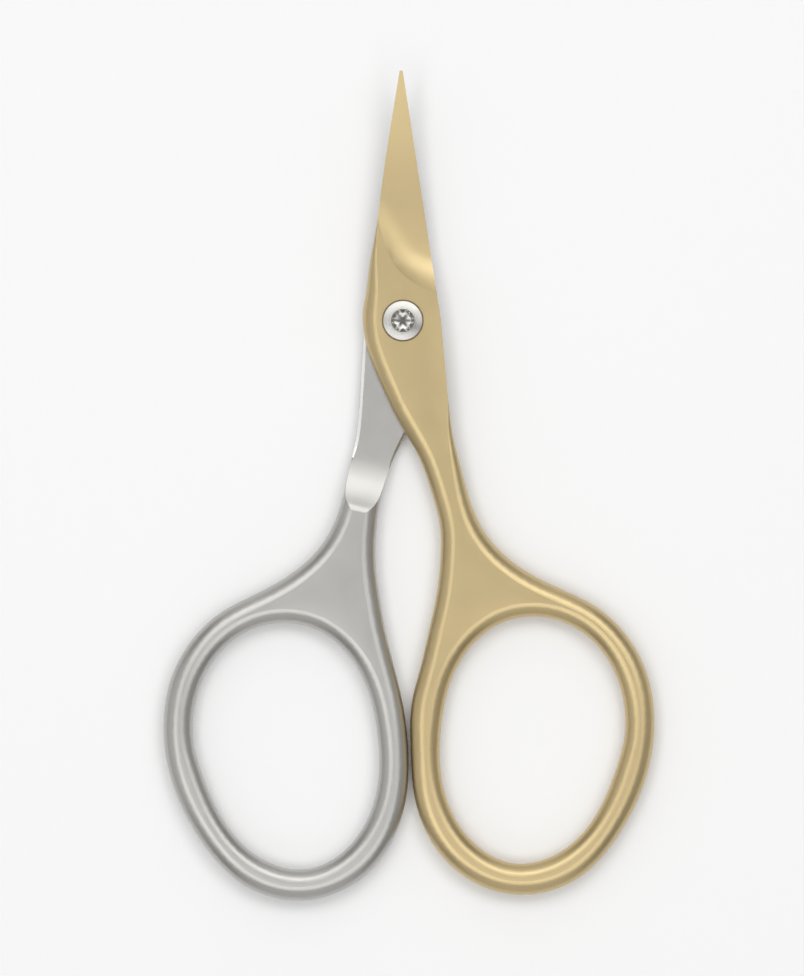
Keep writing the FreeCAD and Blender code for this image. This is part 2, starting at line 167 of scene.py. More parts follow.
@dataclass(frozen=True)
class BlastedSteel:
    """Forged stainless steel, ground and then blasted with fine glass beads.

    The beads leave a close grain with no direction: an even satin sheen, a
    little mottled, with soft broad highlights along the rounded edges.

    Attributes:
        name: Name of the material.
        colour: Colour of the metal, as sRGB hex.
        roughness: Mean roughness of the sheen.
        roughness_swing: How far the roughness goes to either side.
        mottle_mm: Size of the mottled patches.
        mottle_detail: Finer layers of the mottle.
        mottle_low: Noise value that gives the least roughness.
        mottle_high: Noise value that gives the most.
        grain_mm: Size of the bead marks.
        grain_detail: Finer layers of the grain.
        grain_depth_mm: Depth of the bead marks.
    """

    name: str
    colour: str
    roughness: float = 0.39
    roughness_swing: float = 0.012
    mottle_mm: float = 2.4
    mottle_detail: float = 3.0
    mottle_low: float = 0.3
    mottle_high: float = 0.7
    # Real bead marks are some 0.05 mm wide. They are drawn coarser, to show at all.
    grain_mm: float = 0.16
    grain_detail: float = 2.0
    grain_depth_mm: float = 0.003

    def material(self) -> bpy.types.Material:
        """Make the finish as a material.

        Returns:
            The material.
        """
        material = new_material(self.name)
        tree = material.node_tree
        place = add_node(tree, "ShaderNodeTexCoord").outputs["Object"]
        mottle = add_node(
            tree, "ShaderNodeTexNoise",
            inputs={"Vector": place, "Scale": 1 / (self.mottle_mm * MM), "Detail": self.mottle_detail},
        )
        rough = add_node(
            tree, "ShaderNodeMapRange",
            inputs={
                "Value": mottle.outputs[0], "From Min": self.mottle_low, "From Max": self.mottle_high,
                "To Min": self.roughness - self.roughness_swing,
                "To Max": self.roughness + self.roughness_swing,
            },
        )
        grain = add_node(
            tree, "ShaderNodeTexNoise",
            inputs={"Vector": place, "Scale": 1 / (self.grain_mm * MM), "Detail": self.grain_detail},
        )
        bump = add_node(
            tree, "ShaderNodeBump",
            inputs={"Height": grain.outputs[0], "Distance": self.grain_depth_mm * MM, "Strength": 1.0},
        )
        add_surface(
            tree, "ShaderNodeBsdfPrincipled",
            {
                "Base Color": linear(self.colour), "Metallic": 1.0,
                "Roughness": rough.outputs[0], "Normal": bump.outputs[0],
            },
        )
        return material


@dataclass(frozen=True)
class GroundSteelPaintedHighlight:
    """Stainless steel, ground on a fine wheel after the blasting.

    It has lost the blasted grain, so its sheen is smoother. Its colour is also painted lighter than the
    satin steel's, a painted highlight, so a ground bevel shows as a thin bright line beside the satin
    faces.
    """

    name: str
    # Lighter than the satin steel's BDBBB7: a painted highlight on the bevel, on top of its real smoother
    # finish
    colour: str = "E6E5E2"
    roughness: float = 0.24

    def material(self) -> bpy.types.Material:
        """Make the finish as a material.

        Returns:
            The material.
        """
        material = new_material(self.name)
        add_surface(
            material.node_tree, "ShaderNodeBsdfPrincipled",
            {"Base Color": linear(self.colour), "Metallic": 1.0, "Roughness": self.roughness},
        )
        return material


@dataclass(frozen=True)
class TurnedSteel:
    """Stainless steel, turned bright on a lathe.

    The tool leaves fine rings about the axis, so the reflections of the lamps
    spread into fans that run out from the middle.
    """

    name: str
    colour: str = "ACAAA6"
    roughness: float = 0.2
    anisotropy: float = 0.8

    def material(self) -> bpy.types.Material:
        """Make the finish as a material.

        Returns:
            The material.
        """
        material = new_material(self.name)
        tree = material.node_tree
        around = add_node(tree, "ShaderNodeTangent", {"direction_type": "RADIAL", "axis": "Z"})
        add_surface(
            tree, "ShaderNodeBsdfPrincipled",
            {
                "Base Color": linear(self.colour), "Metallic": 1.0, "Roughness": self.roughness,
                "Anisotropic": self.anisotropy, "Tangent": around.outputs[0],
            },
        )
        return material


@dataclass(frozen=True)
class BearingPolymer:
    """Black acetal sheet, stamped.

    It is near black with a dull waxy sheen, so it shows as a dark line only.
    """

    name: str
    colour: str = "17181B"
    roughness: float = 0.5
    refraction: float = 1.48

    def material(self) -> bpy.types.Material:
        """Make the finish as a material.

        Returns:
            The material.
        """
        material = new_material(self.name)
        add_surface(
            material.node_tree, "ShaderNodeBsdfPrincipled",
            {"Base Color": linear(self.colour), "Roughness": self.roughness, "IOR": self.refraction},
        )
        return material


@dataclass(frozen=True)
class FieldGrid:
    """Values on a regular grid over the floor plan, with smooth values between them.

    Attributes:
        low_x: X of the first column.
        low_y: Y of the first row.
        pitch: Distance between neighbours.
        values: The values, by row of Y and column of X.
    """

    low_x: float
    low_y: float
    pitch: float
    values: np.ndarray

    def blurred(self, spread: float) -> "FieldGrid":
        """Blur the field by a bell curve.

        Args:
            spread: Standard deviation of the bell curve, in the grid's unit.

        Returns:
            The blurred field.
        """
        reach = int(BELL_REACH * spread / self.pitch)
        steps = np.arange(-reach, reach + 1) * self.pitch
        bell = np.exp(-0.5 * (steps / spread) ** 2)
        bell /= bell.sum()
        rows = np.apply_along_axis(np.convolve, 1, self.values, bell, "same")
        both = np.apply_along_axis(np.convolve, 0, rows, bell, "same")
        return replace(self, values=both)

    def slopes(self) -> tuple["FieldGrid", "FieldGrid"]:
        """Return the field's slope along X and its slope along Y."""
        along_y, along_x = np.gradient(self.values, self.pitch)
        return replace(self, values=along_x), replace(self, values=along_y)

    def at(self, points: np.ndarray) -> np.ndarray:
        """Read the field at points, each from the four grid points round it.

        Args:
            points: One row of coordinates for each point.

        Returns:
            One value for each point.
        """
        column = (points[:, 0] - self.low_x) / self.pitch
        row = (points[:, 1] - self.low_y) / self.pitch
        left = np.clip(np.floor(column).astype(int), 0, self.values.shape[1] - 2)
        low = np.clip(np.floor(row).astype(int), 0, self.values.shape[0] - 2)
        across, up = column - left, row - low
        v = self.values
        return (
            v[low, left] * (1 - across) * (1 - up) + v[low, left + 1] * across * (1 - up)
            + v[low + 1, left] * (1 - across) * up + v[low + 1, left + 1] * across * up
        )


@dataclass
class SoftCrown:
    """The crown that hand grinding and blasting leave on a flat forging.

    Flat faces fall away softly towards the outline, most of all on the narrow
    rims of the bows, so no face is dead flat. The fall grows with the height
    over the middle of the forging, and dies out before the ground blade.

    Attributes:
        fall: How far an outline edge would fall, twice over.
        spread: How far the fall reaches in from the outline.
        middle_z: Height at which nothing moves.
        half_thickness: Height over the middle at which the fall is whole.
        blade_from_y: Where the crown starts to die out towards the blade.
        blade_to_y: Where it has died out.
        plan_pitch: Pitch of the grid that holds the outline's blurred plan.
        lattice_pitch: Pitch of the lines that flat faces are cut along.
        pivot_fill_radius: The plan counts all within this of the axis as solid.
        flat_normal_z: A face whose normal has more Z than this is flat.
        outer_share: Share of the half thickness above which a face is an outer one.
        cut_tolerance: Points nearer than this to a cutting line count as on it.
    """

    fall: float = 0.42
    spread: float = 1.9
    middle_z: float = 1.6
    half_thickness: float = 1.6
    blade_from_y: float = 1.0
    blade_to_y: float = 7.0
    plan_pitch: float = 0.25
    lattice_pitch: float = 0.9
    pivot_fill_radius: float = 3.4
    flat_normal_z: float = 0.9999
    outer_share: float = 0.9
    cut_tolerance: float = 0.00001

    def plan(self, solid: bmesh.types.BMesh) -> FieldGrid:
        """Look down on the solid and note where it is.

        Args:
            solid: The half's solid.

        Returns:
            The outline's plan: 1 where the solid is, 0 beside it.
        """
        tree = BVHTree.FromBMesh(solid)
        corners = np.array([v.co for v in solid.verts])
        margin = BELL_REACH * self.spread * MM
        low, high = corners.min(axis=0) - margin, corners.max(axis=0) + margin
        pitch = self.plan_pitch * MM
        xs = np.arange(low[0], high[0], pitch)
        ys = np.arange(low[1], high[1], pitch)
        values = np.zeros((len(ys), len(xs)))
        down = Vector((0, 0, -1))
        for row, y in enumerate(ys):
            for column, x in enumerate(xs):
                near_axis = math.hypot(x, y) < self.pivot_fill_radius * MM
                if near_axis or tree.ray_cast(Vector((x, y, high[2])), down)[0] is not None:
                    values[row, column] = 1.0
        return FieldGrid(low[0], low[1], pitch, values)

    def cut_lattice(self, solid: bmesh.types.BMesh) -> None:
        """Cut the flat outer faces along a square lattice, so that they can bend.

        Args:
            solid: The half's solid, which is changed.
        """
        low_z = self.half_thickness * MM * self.outer_share
        corners = np.array([v.co for v in solid.verts])
        for axis, normal in ((0, Vector((1, 0, 0))), (1, Vector((0, 1, 0)))):
            first = math.ceil(corners[:, axis].min() / (self.lattice_pitch * MM))
            last = math.floor(corners[:, axis].max() / (self.lattice_pitch * MM))
            for line in range(first, last + 1):
                place = line * self.lattice_pitch * MM
                flat = [
                    f for f in solid.faces
                    if abs(f.normal.z) > self.flat_normal_z
                    and abs(f.calc_center_median().z - self.middle_z * MM) > low_z
                    and min(v.co[axis] for v in f.verts) < place < max(v.co[axis] for v in f.verts)
                ]
                if not flat:
                    continue
                edges = list(dict.fromkeys(e for f in flat for e in f.edges))
                verts = list(dict.fromkeys(v for f in flat for v in f.verts))
                bmesh.ops.bisect_plane(
                    solid, geom=verts + edges + flat, dist=self.cut_tolerance * MM,
                    plane_co=normal * place, plane_no=normal,
                )

    def fade(self, points: np.ndarray) -> tuple[np.ndarray, np.ndarray]:
        """Let the crown die out towards the blade, along a smooth step.

        Args:
            points: One row of coordinates for each point.

        Returns:
            The share of the crown at each point, and that share's slope along Y.
        """
        span = (self.blade_to_y - self.blade_from_y) * MM
        share = np.clip((points[:, 1] - self.blade_from_y * MM) / span, 0, 1)
        return 1 - share * share * (3 - 2 * share), -6 * share * (1 - share) / span

    def apply(self, mesh: bpy.types.Mesh, normals: np.ndarray, plan: FieldGrid) -> None:
        """Bend the mesh and set its normals to match.

        Args:
            mesh: The half, with its flat faces cut along the lattice.
            normals: The solid's exact normal at each corner of the mesh.
            plan: The outline's plan.
        """
        soft = plan.blurred(self.spread * MM)
        slope_x, slope_y = soft.slopes()
        points = np.empty(len(mesh.vertices) * 3)
        mesh.vertices.foreach_get("co", points)
        points = points.reshape(-1, 3)
        fade, fade_slope = self.fade(points)
        depth = self.fall * MM
        fall = depth * (1 - soft.at(points))
        height = (points[:, 2] - self.middle_z * MM) / (self.half_thickness * MM)
        height = np.clip(height, -1, 1)
        along_x = depth * slope_x.at(points) * fade * height
        along_y = (depth * slope_y.at(points) * fade - fall * fade_slope) * height
        along_z = -fall * fade / (self.half_thickness * MM)
        bent = points.copy()
        bent[:, 2] -= fall * fade * height
        mesh.vertices.foreach_set("co", bent.ravel())
        corner = np.empty(len(mesh.loops), dtype=int)
        mesh.loops.foreach_get("vertex_index", corner)
        tilt = np.column_stack([along_x, along_y, along_z])[corner]
        turned = normals - tilt * (normals[:, 2] / (1 + tilt[:, 2]))[:, None]
        turned /= np.linalg.norm(turned, axis=1)[:, None]
        mesh.normals_split_custom_set(turned.tolist())


@dataclass(frozen=True)
class InnerBevel:
    """The bevel on the left of a half's inner face, ground flatter than a true 45 degree one.

    Attributes:
        finish: Finish of the ground bevel, whose lighter colour is a painted highlight.
        top_z: Height of its upper edge, at the inner face.
        low_z: Height that every face of the bevel lies above.
        from_y: Where it ends towards the bow.
        to_y: Where it ends towards the blade.
        fade: Length over which it takes on its slope, from either end.
        flattening: Its slope, as a share of the slope that the solid has.
        least_normal_z: Least Z in the normal of a face that belongs to it.
        most_normal_z: Most Z in the normal of a face that belongs to it.
    """

    finish: GroundSteelPaintedHighlight
    top_z: float = 1.57
    low_z: float = 1.2
    from_y: float = -17.5
    to_y: float = -0.2
    fade: float = 0.5
    flattening: float = 0.3
    least_normal_z: float = 0.5
    most_normal_z: float = 0.85

    def holds(self, face: bmesh.types.BMFace) -> bool:
        """Say whether a face of the half belongs to the bevel.

        Args:
            face: A face of the half's solid.

        Returns:
            True where it does.
        """
        middle = face.calc_center_median() / MM
        return (
            self.low_z < middle.z < self.top_z
            and self.from_y < middle.y < self.to_y
            and face.normal.x < 0
            and self.least_normal_z < face.normal.z < self.most_normal_z
        )

    def scale_at(self, y: float) -> float:
        """Return the factor on the bevel's slope at a place along it."""
        share = min(max(min(y / MM - self.from_y, self.to_y - y / MM) / self.fade, 0.0), 1.0)
        return 1 - (1 - self.flattening) * share

    def grind(self, solid: bmesh.types.BMesh, finish_index: int) -> None:
        """Flatten the bevel's faces, turn their normals to match and give them their finish.

        Args:
            solid: The half's solid, which is changed.
            finish_index: Place of the bevel's finish among the half's materials.
        """
        solid.normal_update()
        layer = solid.loops.layers.float_vector[EXACT_NORMAL]
        faces = [face for face in solid.faces if self.holds(face)]
        for face in faces:
            # The bevel's finish has a lighter colour than the satin steel: a painted highlight along the
            # bevel
            face.material_index = finish_index
            for loop in face.loops:
                scale = self.scale_at(loop.vert.co.y)
                normal = loop[layer]
                loop[layer] = Vector((normal.x * scale, normal.y * scale, normal.z)).normalized()
        for point in dict.fromkeys(vert for face in faces for vert in face.verts):
            point.co.z = self.top_z * MM - (self.top_z * MM - point.co.z) * self.scale_at(point.co.y)


@dataclass
class ScissorsPiece:
    """A piece of the scissors.

    Attributes:
        node: The node of the frame that it stands for.
        body: The body that it rides on.
        slot: Its material slot; not used.
    """

    node: str
    body: Body
    slot: Slot

    def take_place(self, piece: bpy.types.Object) -> None:
        """Let a finished object ride on the body, in place of the node's solid.

        Args:
            piece: The finished object.
        """
        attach(piece, self.body.value)
        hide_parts(self.node)


@dataclass
class ForgedHalf(ScissorsPiece):
    """One forged half: blade, joint, shank and finger bow in one piece.

    Attributes:
        finish: Finish of the whole half.
        crown: The soft crown of its flat faces.
        bevel: The flatter bevel, on a half that has one.
        merge_distance: Points of the solid closer than this are one.
        most_corners: Faces with more corners than this are cut into triangles.
    """

    finish: BlastedSteel
    crown: SoftCrown
    bevel: InnerBevel | None = None
    merge_distance: float = 0.0001
    most_corners: int = 4

    def build(self) -> bpy.types.Object:
        """Copy the half's solid, give its faces their soft crown, and dress it.

        Returns:
            The finished half.
        """
        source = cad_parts[self.node].data
        mesh = source.copy()
        mesh.name = "forged_" + self.node
        mesh.materials.clear()
        mesh.materials.append(self.finish.material())
        exact = np.empty(len(mesh.loops) * 3)
        mesh.corner_normals.foreach_get("vector", exact)
        kept = mesh.attributes.new(EXACT_NORMAL, "FLOAT_VECTOR", "CORNER")
        kept.data.foreach_set("vector", exact)
        if "custom_normal" in mesh.attributes:
            mesh.attributes.remove(mesh.attributes["custom_normal"])
        solid = bmesh.new()
        solid.from_mesh(mesh)
        bmesh.ops.remove_doubles(solid, verts=solid.verts, dist=self.merge_distance * MM)
        if self.bevel:
            mesh.materials.append(self.bevel.finish.material())
            self.bevel.grind(solid, len(mesh.materials) - 1)
        plan = self.crown.plan(solid)
        self.crown.cut_lattice(solid)
        bmesh.ops.triangulate(
            solid, faces=[f for f in solid.faces if len(f.verts) > self.most_corners],
        )
        solid.to_mesh(mesh)
        solid.free()
        normals = np.empty(len(mesh.loops) * 3)
        mesh.attributes[EXACT_NORMAL].data.foreach_get("vector", normals)
        self.crown.apply(mesh, normals.reshape(-1, 3), plan)
        mesh.attributes.remove(mesh.attributes[EXACT_NORMAL])
        piece = bpy.data.objects.new(mesh.name, mesh)
        bpy.context.scene.collection.objects.link(piece)
        self.take_place(piece)
        return piece


@dataclass(frozen=True)
class Station:
    """A point of a turned profile.

    Attributes:
        radius: Distance from the axis.
        height: Height on the axis.
        lobing: Share of the driver socket's lobes in the radius, from 0 to 1.
    """

    radius: float
    height: float
    lobing: float = 0.0


def quarter_round(radius: float, height: float, size: float, first_angle: float) -> list[Station]:
    """Round an edge of a profile by a quarter of a circle.

    Args:
        radius: Distance of the circle's middle from the axis.
        height: Height of the circle's middle.
        size: Radius of the circle.
        first_angle: Direction in which the quarter starts, in degrees above straight out.

    Returns:
        The stations of the quarter, from its start towards the top.
    """
    steps = 6
    angles = [math.radians(first_angle + QUARTER * step / steps) for step in range(steps + 1)]
    return [Station(radius + size * math.cos(a), height + size * math.sin(a)) for a in angles]


def turning_tree(material: bpy.types.Material) -> bpy.types.NodeTree:
    """Build the geometry tree that turns a profile about the Z axis.

    The profile comes in as the points of the object's own mesh, in order. A
    grid gets one row for each point and one column for each step round. Its
    rows take radius, lobing and height from the point's X, Y and Z.

    Args:
        material: The finish of the turned piece.

    Returns:
        The tree, with named inputs for the rows, the steps round and the lobes.
    """
    tree = bpy.data.node_groups.new("turn_about_axis", "GeometryNodeTree")
    tree.interface.new_socket("Profile", in_out="INPUT", socket_type="NodeSocketGeometry")
    for name in ("Rows", "Steps Round", "Lobes"):
        tree.interface.new_socket(name, in_out="INPUT", socket_type="NodeSocketInt")
    tree.interface.new_socket("Lobe Swing", in_out="INPUT", socket_type="NodeSocketFloat")
    tree.interface.new_socket("Piece", in_out="OUTPUT", socket_type="NodeSocketGeometry")
    entry = add_node(tree, "NodeGroupInput").outputs

    columns = calculate(tree, "ADD", entry["Steps Round"], 1.0)
    grid = add_node(
        tree, "GeometryNodeMeshGrid", inputs={"Vertices X": entry["Rows"], "Vertices Y": columns},
    )
    index = add_node(tree, "GeometryNodeInputIndex").outputs[0]
    row = calculate(tree, "FLOOR", calculate(tree, "DIVIDE", index, columns))
    column = calculate(tree, "MODULO", index, columns)
    share = calculate(tree, "DIVIDE", column, entry["Steps Round"])
    turn = calculate(tree, "MULTIPLY", share, math.tau)
    station = add_node(
        tree, "GeometryNodeSampleIndex", {"data_type": "FLOAT_VECTOR", "clamp": True},
        {
            "Geometry": entry["Profile"], "Index": row,
            "Value": add_node(tree, "GeometryNodeInputPosition").outputs[0],
        },
    )
    parts = add_node(tree, "ShaderNodeSeparateXYZ", inputs={0: station.outputs[0]}).outputs
    wave = calculate(tree, "COSINE", calculate(tree, "MULTIPLY", turn, entry["Lobes"]))
    lobing = calculate(tree, "MULTIPLY", wave, parts["Y"])
    swing = calculate(tree, "MULTIPLY", lobing, entry["Lobe Swing"])
    radius = calculate(tree, "ADD", parts["X"], swing)
    place = add_node(
        tree, "ShaderNodeCombineXYZ",
        inputs={
            "X": calculate(tree, "MULTIPLY", radius, calculate(tree, "COSINE", turn)),
            "Y": calculate(tree, "MULTIPLY", radius, calculate(tree, "SINE", turn)),
            "Z": parts["Z"],
        },
    )
    turned = add_node(
        tree, "GeometryNodeSetPosition", inputs={"Geometry": grid.outputs[0], "Position": place.outputs[0]},
    )
    closed = add_node(
        tree, "GeometryNodeMergeByDistance",
        inputs={"Geometry": turned.outputs[0], "Distance": SEAM_MM * MM},
    )
    # The profile runs outward and up, which leaves the grid's faces turned in
    outward = add_node(tree, "GeometryNodeFlipFaces", inputs={"Mesh": closed.outputs[0]})
    fold = add_node(
        tree, "FunctionNodeCompare", {"data_type": "FLOAT", "operation": "GREATER_THAN"},
        {
            0: add_node(tree, "GeometryNodeInputMeshEdgeAngle").outputs[0],
            1: math.radians(CREASE_DEGREES),
        },
    )
    smooth = add_node(
        tree, "GeometryNodeSetShadeSmooth", {"domain": "FACE"}, {"Geometry": outward.outputs[0]},
    )
    creased = add_node(
        tree, "GeometryNodeSetShadeSmooth", {"domain": "EDGE"},
        {"Geometry": smooth.outputs[0], "Selection": fold.outputs[0], "Shade Smooth": False},
    )
    real = add_node(tree, "GeometryNodeRealizeInstances", inputs={0: creased.outputs[0]})
    dressed = add_node(
        tree, "GeometryNodeSetMaterial", inputs={"Geometry": real.outputs[0], "Material": material},
    )
    add_node(tree, "NodeGroupOutput", inputs={"Piece": dressed.outputs[0]})
    return tree


@dataclass
class TurnedPiece(ScissorsPiece):
    """A piece turned about the pivot axis.

    Subclasses give the profile, as stations from the lower end of the axis
    round the outside to the upper end, or round a ring back to the start.

    Attributes:
        finish: Finish of the whole piece.
        steps_round: Steps in one turn about the axis.
        lobes: Lobes of a driver socket, if it has one.
        lobe_swing: How far the lobes go in and out from the socket's mean radius.
    """

    finish: TurnedSteel | BearingPolymer
    steps_round: int = 180
    lobes: int = 0
    lobe_swing: float = 0.0

    def profile(self) -> list[Station]:
        """Return the stations of the profile."""
        raise NotImplementedError

    def build(self) -> bpy.types.Object:
        """Turn the profile, put the piece on its body and let it stand for its solid.

        Returns:
            The finished piece.
        """
        stations = self.profile()
        points = [(s.radius * MM, s.lobing, s.height * MM) for s in stations]
        line = bpy.data.meshes.new(self.node + "_profile")
        line.from_pydata(points, [(i, i + 1) for i in range(len(points) - 1)], [])
        piece = bpy.data.objects.new("turned_" + self.node, line)
        bpy.context.scene.collection.objects.link(piece)
        tree = turning_tree(self.finish.material())
        modifier = piece.modifiers.new("turning", "NODES")
        modifier.node_group = tree
        values = {
            "Rows": len(points), "Steps Round": self.steps_round, "Lobes": self.lobes,
            "Lobe Swing": self.lobe_swing * MM,
        }
        for item in tree.interface.items_tree:
            if item.item_type == "SOCKET" and item.in_out == "INPUT" and item.name in values:
                modifier[item.identifier] = values[item.name]
        seen = piece.evaluated_get(bpy.context.evaluated_depsgraph_get())
        mesh = bpy.data.meshes.new_from_object(seen)
        piece.modifiers.remove(modifier)
        piece.data = mesh
        mesh.name = piece.name
        self.take_place(piece)
        return piece


@dataclass
class PivotScrew(TurnedPiece):
    """The screw: a low coned head with a six-lobe socket, a plain shoulder and a short thread.

    Attributes:
        head_radius: Radius of the head.
        seat_z: Height of the head's underside.
        rim_z: Height of the head's face at its rim.
        top_z: Height of the head's face at the socket.
        edge_round: Rounding of the rim.
        crown_power: Bend of the face: 1 is a cone, and more curves it down to the rim.
        crown_steps: Steps of the face from rim to socket.
        groove_pitch: Pitch of the tool's rings on the face.
        groove_depth: Half the depth of those rings.
        socket_mean_radius: Mean radius of the six-lobe wall.
        socket_depth: Depth of the wall's foot under the top.
        socket_cone_depth: Depth of the floor's cone under that.
        socket_lead: Width of the lead at the socket's mouth.
        lead_middle: Depth of the lead's middle, in widths of the lead.
        lead_foot: Depth of the lead's foot, in widths of the lead.
        foot_share: Radius of the floor's corner, as a share of the wall's.
        foot_drop: Depth of that corner under the wall's foot.
        foot_lobing: Share of the lobes that is left in that corner.
        shoulder_radius: Radius of the shoulder that the front half turns on.
        shoulder_end_z: Height of the shoulder's lower end.
        thread_radius: Radius over the thread's crests.
        thread_end_z: Height of the thread's lower end.
        thread_pitch: Height from crest to crest.
        thread_depth: Depth of the thread.
    """

    head_radius: float = 2.175
    seat_z: float = 2.88
    rim_z: float = 3.44
    top_z: float = 3.6
    edge_round: float = 0.1
    crown_power: float = 1.2
    crown_steps: int = 56
    groove_pitch: float = 0.13
    groove_depth: float = 0.0016
    socket_mean_radius: float = 0.9925
    socket_depth: float = 1.25
    socket_cone_depth: float = 0.22
    socket_lead: float = 0.05
    lead_middle: float = 0.7
    lead_foot: float = 2.0
    foot_share: float = 0.8
    foot_drop: float = 0.02
    foot_lobing: float = 0.4
    shoulder_radius: float = 1.7
    shoulder_end_z: float = 1.3
    thread_radius: float = 1.25
    thread_end_z: float = 0.38
    thread_pitch: float = 0.225
    thread_depth: float = 0.08

    def thread(self) -> list[Station]:
        """Draw the thread's flanks.

        Returns:
            The stations, crest by crest up to the shoulder.
        """
        stations = []
        turns = int((self.shoulder_end_z - self.thread_end_z) / self.thread_pitch)
        for turn in range(turns):
            foot = self.thread_end_z + turn * self.thread_pitch
            stations.append(Station(self.thread_radius - self.thread_depth, foot))
            stations.append(Station(self.thread_radius, foot + self.thread_pitch / 2))
        return stations

    def crown(self) -> list[Station]:
        """Draw the head's face, with the tool's fine rings.

        Returns:
            The stations, from the rim in to the socket.
        """
        outer = self.head_radius - self.edge_round
        inner = self.socket_mean_radius + self.lobe_swing + self.socket_lead
        rise = self.top_z - self.rim_z
        stations = []
        for step in range(self.crown_steps + 1):
            radius = outer + (inner - outer) * step / self.crown_steps
            fall = rise * ((radius - inner) / (outer - inner)) ** self.crown_power
            ring = self.groove_depth * math.cos(math.tau * radius / self.groove_pitch)
            stations.append(Station(radius, self.top_z - fall + ring - self.groove_depth))
        return stations

    def profile(self) -> list[Station]:
        """Draw the whole screw.

        Returns:
            The stations, from the thread's end up to the floor of the socket.
        """
        floor_z = self.top_z - self.socket_depth
        wall = self.socket_mean_radius
        return [
            Station(0, self.thread_end_z),
            *self.thread(),
            Station(self.thread_radius - self.thread_depth, self.shoulder_end_z),
            Station(self.shoulder_radius, self.shoulder_end_z),
            Station(self.shoulder_radius, self.seat_z),
            Station(self.head_radius - self.edge_round / 2, self.seat_z),
            Station(self.head_radius, self.seat_z + self.edge_round / 2),
            *quarter_round(
                self.head_radius - self.edge_round, self.rim_z - self.edge_round, self.edge_round, 0,
            ),
            *self.crown(),
            Station(wall + self.socket_lead / 2, self.top_z - self.socket_lead * self.lead_middle, 1.0),
            Station(wall, self.top_z - self.socket_lead * self.lead_foot, 1.0),
            Station(wall, floor_z, 1.0),
            Station(wall * self.foot_share, floor_z - self.foot_drop, self.foot_lobing),
            Station(0, floor_z - self.socket_cone_depth),
        ]


@dataclass
class PivotNut(TurnedPiece):
    """The blind flanged nut, pressed into the rear half from behind.

    Attributes:
        flange_radius: Radius of the flange.
        flange_thickness: Height of the flange over the back.
        edge_round: Rounding of the flange's back edge.
        sleeve_radius: Radius of the sleeve.
        sleeve_lead: Width of the lead round the sleeve's end.
        top_z: Height of the sleeve's end.
        bore_radius: Radius of the bore.
        cap_thickness: Height of the bore's floor over the back.
        groove_pitch: Pitch of the tool's rings on the back.
        groove_depth: Half the depth of those rings.
        back_steps: Steps of the back from the axis to the rounded edge.
    """

    flange_radius: float = 2.8
    flange_thickness: float = 0.55
    edge_round: float = 0.12
    sleeve_radius: float = 1.95
    sleeve_lead: float = 0.06
    top_z: float = 1.27
    bore_radius: float = 1.27
    cap_thickness: float = 0.35
    groove_pitch: float = 0.16
    groove_depth: float = 0.0016
    back_steps: int = 100

    def profile(self) -> list[Station]:
        """Draw the whole nut.

        Returns:
            The stations, from the middle of its back round to the bottom of its bore.
        """
        back = []
        outer = self.flange_radius - self.edge_round
        for step in range(self.back_steps + 1):
            radius = outer * step / self.back_steps
            ring = self.groove_depth * (1 + math.cos(math.tau * radius / self.groove_pitch))
            back.append(Station(radius, ring))
        return [
            *back,
            *quarter_round(outer, self.edge_round, self.edge_round, -QUARTER)[1:],
            Station(self.flange_radius, self.flange_thickness),
            Station(self.sleeve_radius, self.flange_thickness),
            Station(self.sleeve_radius, self.top_z - self.sleeve_lead),
            Station(self.sleeve_radius - self.sleeve_lead, self.top_z),
            Station(self.bore_radius, self.top_z),
            Station(self.bore_radius, self.cap_thickness),
            Station(0, self.cap_thickness),
        ]


@dataclass
class BearingRing(TurnedPiece):
    """A thin flat ring that keeps steel off steel, with its stamped edges a little rounded.

    Attributes:
        inner_radius: Radius of the hole.
        outer_radius: Radius of the outside.
        low_z: Height of the lower face.
        high_z: Height of the upper face.
        edge_round: How far the edges are taken off.
    """

    inner_radius: float = 1.0
    outer_radius: float = 2.0
    low_z: float = 0.0
    high_z: float = 0.1
    edge_round: float = 0.03

    def profile(self) -> list[Station]:
        """Draw the ring's section.

        Returns:
            The stations, from the lower inner edge round to the same edge.
        """
        inner, outer, edge = self.inner_radius, self.outer_radius, self.edge_round
        return [
            Station(inner + edge, self.low_z),
            Station(outer - edge, self.low_z),
            Station(outer, self.low_z + edge),
            Station(outer, self.high_z - edge),
            Station(outer - edge, self.high_z),
            Station(inner + edge, self.high_z),
            Station(inner, self.high_z - edge),
            Station(inner, self.low_z + edge),
            Station(inner + edge, self.low_z),
        ]


@dataclass(frozen=True)
class Softbox:
    """A flat soft lamp that faces the scissors.

    Attributes:
        name: Name of the lamp.
        polar: Angle from straight above, in degrees.
        azimuth: Direction on the floor, in degrees from the X axis.
        distance: Metres from the scissors.
        width: Metres along the floor.
        height: Metres across.
        radiance: How bright its face is, where a white floor under a full sky of 1 is 1.
    """

    name: str
    polar: float
    azimuth: float
    distance: float
    width: float
    height: float
    radiance: float

    def build(self, target: Vector) -> bpy.types.Object:
        """Hang the lamp.

        Args:
            target: The point that it faces.

        Returns:
            The lamp.
        """
        tilt, turn = math.radians(self.polar), math.radians(self.azimuth)
        away = Vector((math.sin(tilt) * math.cos(turn), math.sin(tilt) * math.sin(turn), math.cos(tilt)))
        light = bpy.data.lights.new(self.name, "AREA")
        light.shape = "RECTANGLE"
        light.size = self.width
        light.size_y = self.height
        light.energy = self.radiance * math.pi * self.width * self.height
        lamp = bpy.data.objects.new(self.name, light)
        bpy.context.scene.collection.objects.link(lamp)
        lamp.location = target + away * self.distance
        lamp.rotation_euler = away.to_track_quat("Z", "Y").to_euler()
        return lamp


